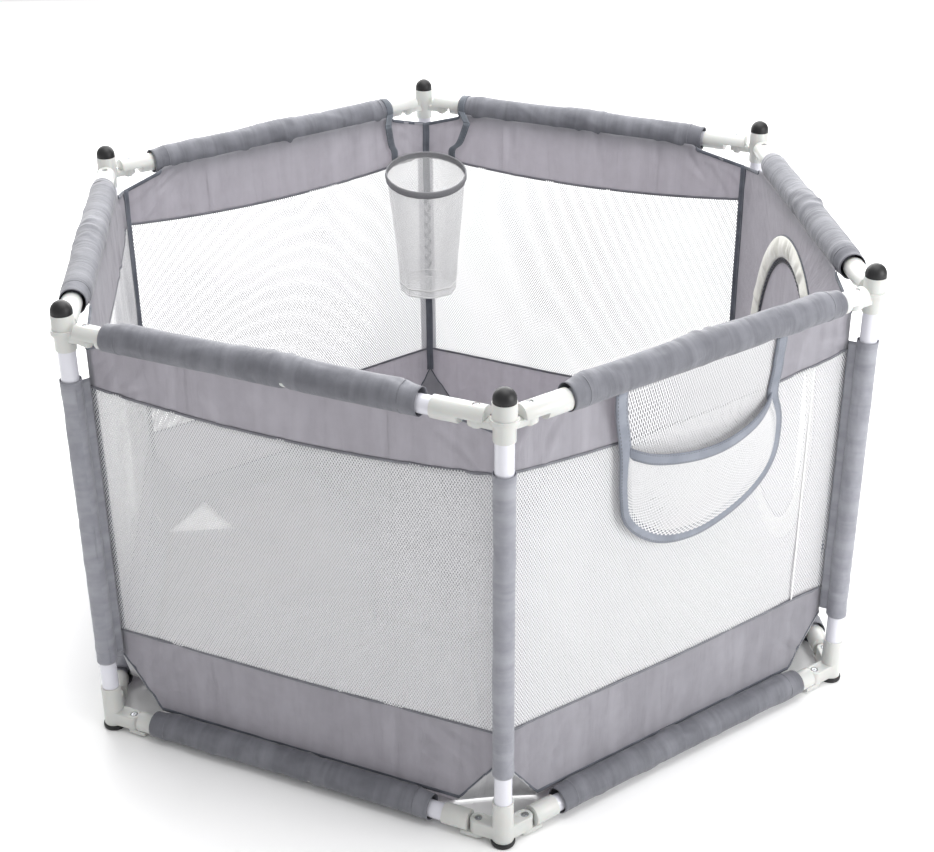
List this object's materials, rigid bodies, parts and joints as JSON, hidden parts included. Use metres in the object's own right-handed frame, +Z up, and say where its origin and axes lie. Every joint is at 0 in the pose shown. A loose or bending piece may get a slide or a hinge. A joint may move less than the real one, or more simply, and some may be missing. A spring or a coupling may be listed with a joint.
{
  "type": "playpen",
  "caption": "Folding hexagonal playpen: tube posts and rails with corner hinges, a fabric and mesh tub, a zip door, a storage pocket and a ball hoop.",
  "frame": {"origin": "middle of the floor, under the centre of the six posts", "axes": "+Z up; +Y towards post 4, which carries the ball hoop; post 1 stands at -Y"},
  "size_m": [1.1454, 1.317, 0.701],
  "materials": {
    "white_tube": "gloss",
    "white_plastic": "satin moulded",
    "black_rubber": "satin",
    "grey_cloth": "woven",
    "white_net": "open mesh",
    "hoop_band": "woven",
    "slate_webbing": "woven tape"
  },
  "bodies": {
    "post_1": {"post_1_tube": "white_tube", "post_1_connectors": "white_plastic", "post_1_caps": "black_rubber", "post_1_sleeve": "grey_cloth"},
    "post_2": {"post_2_tube": "white_tube", "post_2_connectors": "white_plastic", "post_2_caps": "black_rubber", "post_2_sleeve": "grey_cloth"},
    "post_3": {"post_3_tube": "white_tube", "post_3_connectors": "white_plastic", "post_3_caps": "black_rubber", "post_3_sleeve": "grey_cloth"},
    "post_4": {"post_4_tube": "white_tube", "post_4_connectors": "white_plastic", "post_4_caps": "black_rubber", "post_4_sleeve": "grey_cloth", "tub_floor": "grey_cloth"},
    "post_5": {"post_5_tube": "white_tube", "post_5_connectors": "white_plastic", "post_5_caps": "black_rubber", "post_5_sleeve": "grey_cloth"},
    "post_6": {"post_6_tube": "white_tube", "post_6_connectors": "white_plastic", "post_6_caps": "black_rubber", "post_6_sleeve": "grey_cloth"},
    "side_1a": {"side_1a_rails": "white_tube", "side_1a_fittings": "white_plastic"},
    "side_1b": {"side_1b_rails": "white_tube", "side_1b_fittings": "white_plastic", "wall_1": "grey_cloth", "storage_pocket": "white_net"},
    "side_2a": {"side_2a_rails": "white_tube", "side_2a_fittings": "white_plastic", "wall_2": "grey_cloth"},
    "side_2b": {"side_2b_rails": "white_tube", "side_2b_fittings": "white_plastic"},
    "side_3a": {"side_3a_rails": "white_tube", "side_3a_fittings": "white_plastic"},
    "side_3b": {"side_3b_rails": "white_tube", "side_3b_fittings": "white_plastic", "wall_3": "grey_cloth"},
    "side_4a": {"side_4a_rails": "white_tube", "side_4a_fittings": "white_plastic", "wall_4": "grey_cloth"},
    "side_4b": {"side_4b_rails": "white_tube", "side_4b_fittings": "white_plastic"},
    "side_5a": {"side_5a_rails": "white_tube", "side_5a_fittings": "white_plastic", "wall_5": "grey_cloth"},
    "side_5b": {"side_5b_rails": "white_tube", "side_5b_fittings": "white_plastic"},
    "side_6a": {"side_6a_rails": "white_tube", "side_6a_fittings": "white_plastic", "wall_6": "grey_cloth"},
    "side_6b": {"side_6b_rails": "white_tube", "side_6b_fittings": "white_plastic"},
    "ball_hoop": {"ball_hoop_ring": "hoop_band", "ball_hoop_net": "white_net", "ball_hoop_straps": "slate_webbing"},
    "door": {"door_panel": "grey_cloth"}
  },
  "joints": [
    {"name": "frame_fold", "type": "hinge", "parent": "post_4", "child": "side_4a", "pos_m": [-0.03204, 0.6215, 0.34], "axis": [0, 0, -1], "range_deg": [0, 82], "deforming": ["wall_1", "wall_2", "wall_3", "wall_4", "wall_5", "wall_6", "tub_floor", "storage_pocket"]},
    {"name": "side_4_mid_hinge", "type": "hinge", "parent": "side_4a", "child": "side_4b", "pos_m": [-0.26988, 0.46744, 0.34], "axis": [0, 0, 1], "range_deg": [0, 164]},
    {"name": "post_5_swing", "type": "hinge", "parent": "side_4b", "child": "post_5", "pos_m": [-0.52221, 0.3385, 0.34], "axis": [0, 0, -1], "range_deg": [0, 82]},
    {"name": "side_5_swing", "type": "hinge", "parent": "post_5", "child": "side_5a", "pos_m": [-0.55426, 0.283, 0.34], "axis": [0, 0, -1], "range_deg": [0, 82]},
    {"name": "side_5_mid_hinge", "type": "hinge", "parent": "side_5a", "child": "side_5b", "pos_m": [-0.53976, 0, 0.34], "axis": [0, 0, 1], "range_deg": [0, 164]},
    {"name": "post_6_swing", "type": "hinge", "parent": "side_5b", "child": "post_6", "pos_m": [-0.55426, -0.283, 0.34], "axis": [0, 0, -1], "range_deg": [0, 82]},
    {"name": "side_6_swing", "type": "hinge", "parent": "post_6", "child": "side_6a", "pos_m": [-0.52221, -0.3385, 0.34], "axis": [0, 0, -1], "range_deg": [0, 82]},
    {"name": "side_6_mid_hinge", "type": "hinge", "parent": "side_6a", "child": "side_6b", "pos_m": [-0.26988, -0.46744, 0.34], "axis": [0, 0, 1], "range_deg": [0, 164]},
    {"name": "post_1_swing", "type": "hinge", "parent": "side_6b", "child": "post_1", "pos_m": [-0.03204, -0.6215, 0.34], "axis": [0, 0, -1], "range_deg": [0, 82]},
    {"name": "side_3_swing", "type": "hinge", "parent": "post_4", "child": "side_3b", "pos_m": [0.03204, 0.6215, 0.34], "axis": [0, 0, 1], "range_deg": [0, 82]},
    {"name": "side_3_mid_hinge", "type": "hinge", "parent": "side_3b", "child": "side_3a", "pos_m": [0.26988, 0.46744, 0.34], "axis": [0, 0, -1], "range_deg": [0, 164]},
    {"name": "post_3_swing", "type": "hinge", "parent": "side_3a", "child": "post_3", "pos_m": [0.52221, 0.3385, 0.34], "axis": [0, 0, 1], "range_deg": [0, 82]},
    {"name": "side_2_swing", "type": "hinge", "parent": "post_3", "child": "side_2b", "pos_m": [0.55426, 0.283, 0.34], "axis": [0, 0, 1], "range_deg": [0, 82]},
    {"name": "side_2_mid_hinge", "type": "hinge", "parent": "side_2b", "child": "side_2a", "pos_m": [0.53976, 0, 0.34], "axis": [0, 0, -1], "range_deg": [0, 164]},
    {"name": "post_2_swing", "type": "hinge", "parent": "side_2a", "child": "post_2", "pos_m": [0.55426, -0.283, 0.34], "axis": [0, 0, 1], "range_deg": [0, 82]},
    {"name": "side_1_swing", "type": "hinge", "parent": "post_2", "child": "side_1b", "pos_m": [0.52221, -0.3385, 0.34], "axis": [0, 0, 1], "range_deg": [0, 82]},
    {"name": "side_1_mid_hinge", "type": "hinge", "parent": "side_1b", "child": "side_1a", "pos_m": [0.26988, -0.46744, 0.34], "axis": [0, 0, -1], "range_deg": [0, 164]},
    {"name": "hoop_swing", "type": "hinge", "parent": "post_4", "child": "ball_hoop", "pos_m": [0, 0.556, 0.64], "axis": [-1, 0, 0], "range_deg": [0, 25]},
    {"name": "door_swing", "type": "hinge", "parent": "side_2a", "child": "door", "pos_m": [0.53106, -0.123, 0.35], "axis": [0, 0, -1], "range_deg": [0, 110]}
  ],
  "couplings": [
    {"joint": "side_4_mid_hinge", "follows": "frame_fold", "ratio": 2},
    {"joint": "post_5_swing", "follows": "frame_fold", "ratio": 1},
    {"joint": "side_5_swing", "follows": "frame_fold", "ratio": 1},
    {"joint": "side_5_mid_hinge", "follows": "frame_fold", "ratio": 2},
    {"joint": "post_6_swing", "follows": "frame_fold", "ratio": 1},
    {"joint": "side_6_swing", "follows": "frame_fold", "ratio": 1},
    {"joint": "side_6_mid_hinge", "follows": "frame_fold", "ratio": 2},
    {"joint": "post_1_swing", "follows": "frame_fold", "ratio": 1},
    {"joint": "side_3_swing", "follows": "frame_fold", "ratio": 1},
    {"joint": "side_3_mid_hinge", "follows": "frame_fold", "ratio": 2},
    {"joint": "post_3_swing", "follows": "frame_fold", "ratio": 1},
    {"joint": "side_2_swing", "follows": "frame_fold", "ratio": 1},
    {"joint": "side_2_mid_hinge", "follows": "frame_fold", "ratio": 2},
    {"joint": "post_2_swing", "follows": "frame_fold", "ratio": 1},
    {"joint": "side_1_swing", "follows": "frame_fold", "ratio": 1},
    {"joint": "side_1_mid_hinge", "follows": "frame_fold", "ratio": 2}
  ]
}
